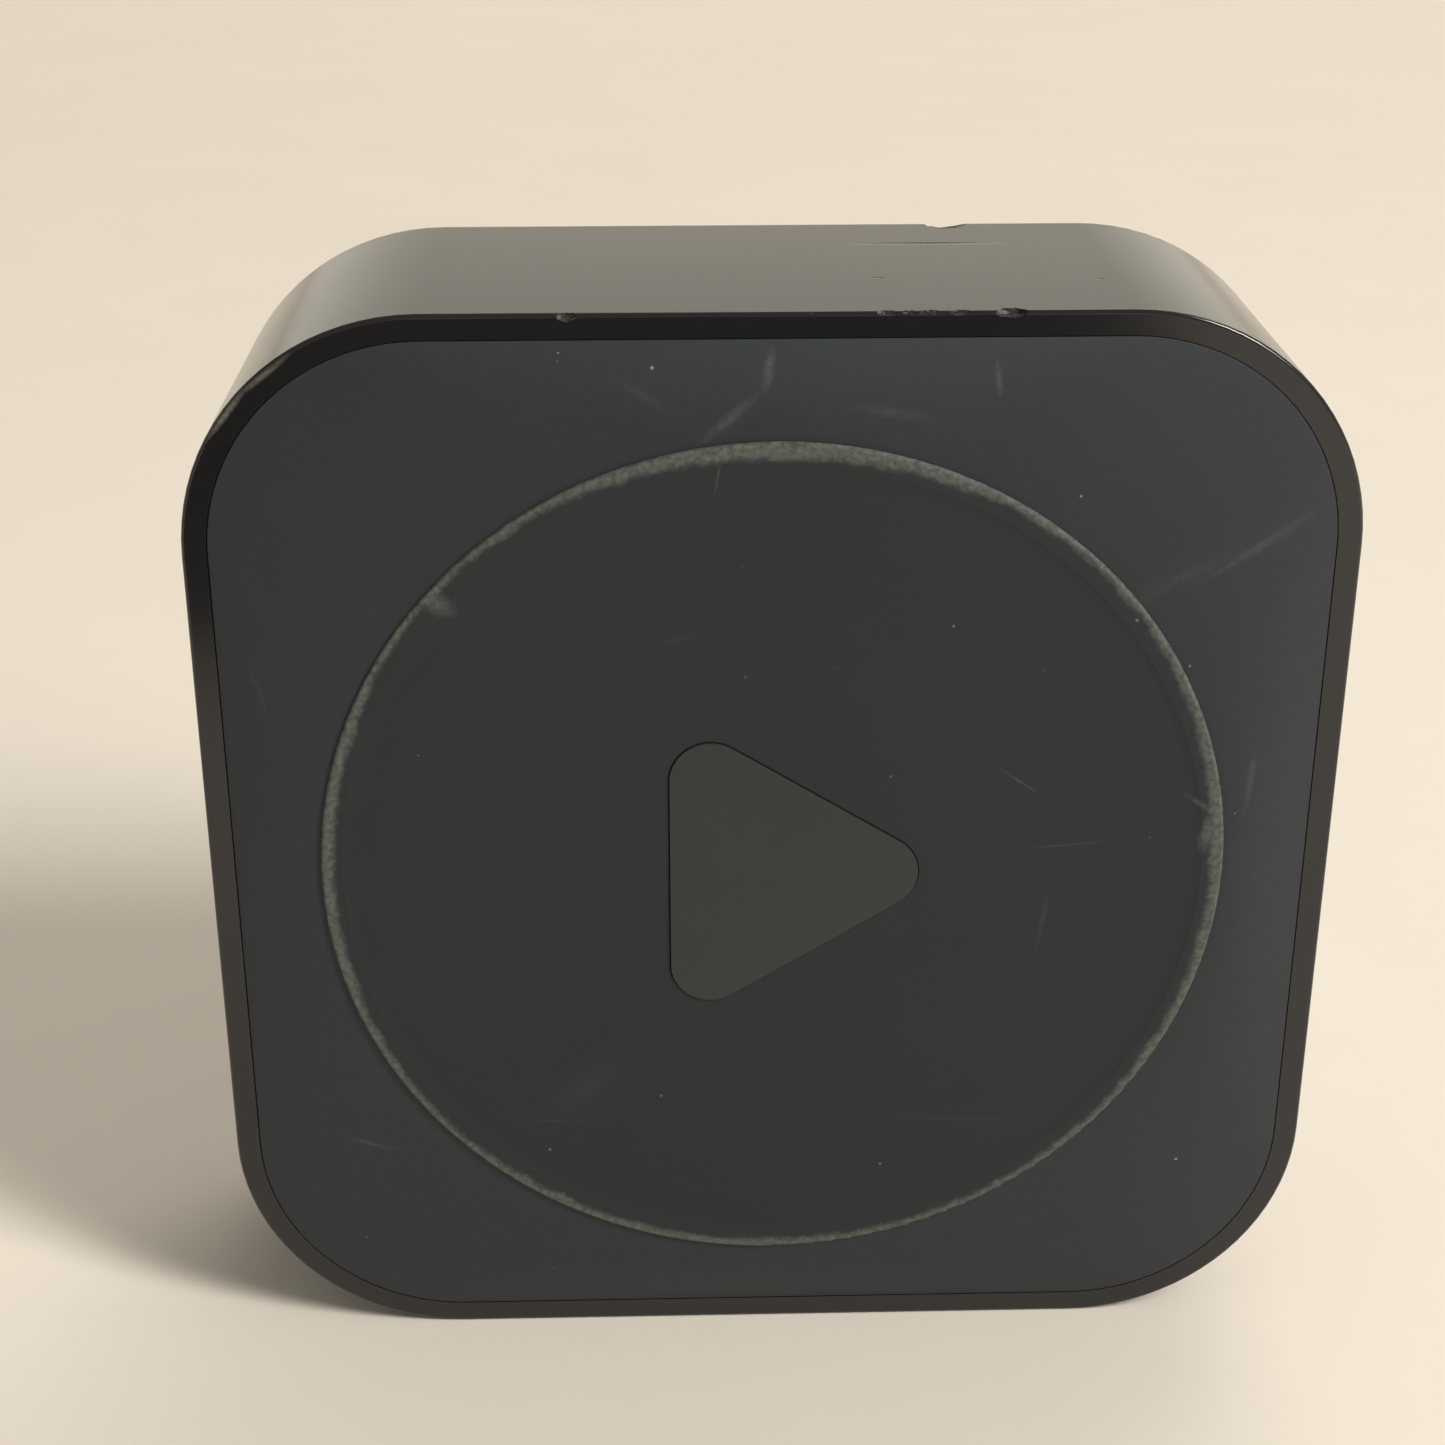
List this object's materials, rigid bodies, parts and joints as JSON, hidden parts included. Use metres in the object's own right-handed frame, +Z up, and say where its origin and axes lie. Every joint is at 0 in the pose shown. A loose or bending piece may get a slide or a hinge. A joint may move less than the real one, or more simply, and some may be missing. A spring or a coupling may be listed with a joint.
{
  "type": "streaming media player",
  "caption": "Small square media player standing on a side wall, with a gloss shell, a matte cover with a round rubber foot, and mains, video, service and network sockets.",
  "frame": {"origin": "centre of the bounding box in plan, at the level of the surface that the box stands on", "axes": "+Z up the standing box, +X towards the wall with the sockets, +Y towards the top face; the round foot faces -Y"},
  "size_m": [0.098, 0.035, 0.098],
  "materials": {
    "gloss_shell": "moulded, polished to a high gloss",
    "soft_cover": "moulded with a fine matte, soft-touch coat",
    "foot_rubber": "moulded rubber, paler where the rim has rubbed",
    "emblem_plastic": "moulded, satin",
    "logic_laminate": "solder mask over fibreglass",
    "power_laminate": "bare phenolic laminate",
    "chip_resin": "moulded epoxy",
    "thermal_gel": "soft filled silicone",
    "tinplate": "tin-plated pressed steel",
    "sink_aluminium": "die-cast and tumbled",
    "screw_steel": "zinc-plated",
    "ceramic": "fired ceramic",
    "ferrite": "sintered, ground",
    "winding_tape": "polyester tape over copper wire",
    "copper_winding": "enamelled copper wire",
    "capacitor_sleeve": "shrunk sleeve",
    "film_capacitor_case": "moulded case",
    "white_resin": "moulded",
    "fuse_case": "moulded case",
    "brass": "turned",
    "insulation_film": "polyester film",
    "socket_plastic": "moulded nylon",
    "nickel_plate": "nickel-plated brass",
    "gold_plate": "gold-plated phosphor bronze",
    "clear_acrylic": "moulded clear acrylic",
    "filter_resin": "dark red resin",
    "antenna_copper": "pressed copper",
    "lead_sheath": "extruded sheath"
  },
  "bodies": {
    "case": {"upper_case": "gloss_shell", "bottom_cover": "soft_cover", "foot_pad": "foot_rubber", "emblem_inlay": "emblem_plastic", "logic_board": "logic_laminate", "processor": "chip_resin", "thermal_pad": "thermal_gel", "memory_chip": "chip_resin", "storage_chip": "chip_resin", "wireless_module": "tinplate", "network_controller": "chip_resin", "power_management_chip": "chip_resin", "board_capacitors": "ceramic", "board_shield": "tinplate", "heat_sink": "sink_aluminium", "heat_sink_screws": "screw_steel", "board_screws": "screw_steel", "power_board": "power_laminate", "power_screws": "screw_steel", "transformer_core": "ferrite", "transformer_winding": "winding_tape", "bulk_capacitor": "capacitor_sleeve", "filter_choke": "copper_winding", "film_capacitor": "film_capacitor_case", "output_capacitors": "capacitor_sleeve", "output_inductor": "ferrite", "bridge_rectifier": "chip_resin", "switching_transistor": "chip_resin", "opto_coupler": "white_resin", "mains_fuse": "fuse_case", "power_posts": "brass", "insulating_sheet": "insulation_film", "mains_inlet": "socket_plastic", "mains_pins": "nickel_plate", "video_socket": "tinplate", "video_tongue": "socket_plastic", "service_socket": "tinplate", "service_tongue": "socket_plastic", "network_socket": "socket_plastic", "network_legs": "nickel_plate", "network_shield": "tinplate", "port_shield": "tinplate", "status_light": "white_resin", "light_pipe": "clear_acrylic", "infrared_receiver": "filter_resin", "antenna_holders": "white_resin", "antenna_left": "antenna_copper", "antenna_right": "antenna_copper", "antenna_leads": "lead_sheath"},
    "contact_springs": {"network_contacts": "gold_plate"}
  },
  "joints": [
    {"name": "contact_press", "type": "hinge", "parent": "case", "child": "contact_springs", "pos_m": [0.0462, -0.0045, 0.0675], "axis": [0, 0, 1], "range_deg": [0, 14], "stiffness_Nm_per_rad": 0.2}
  ]
}
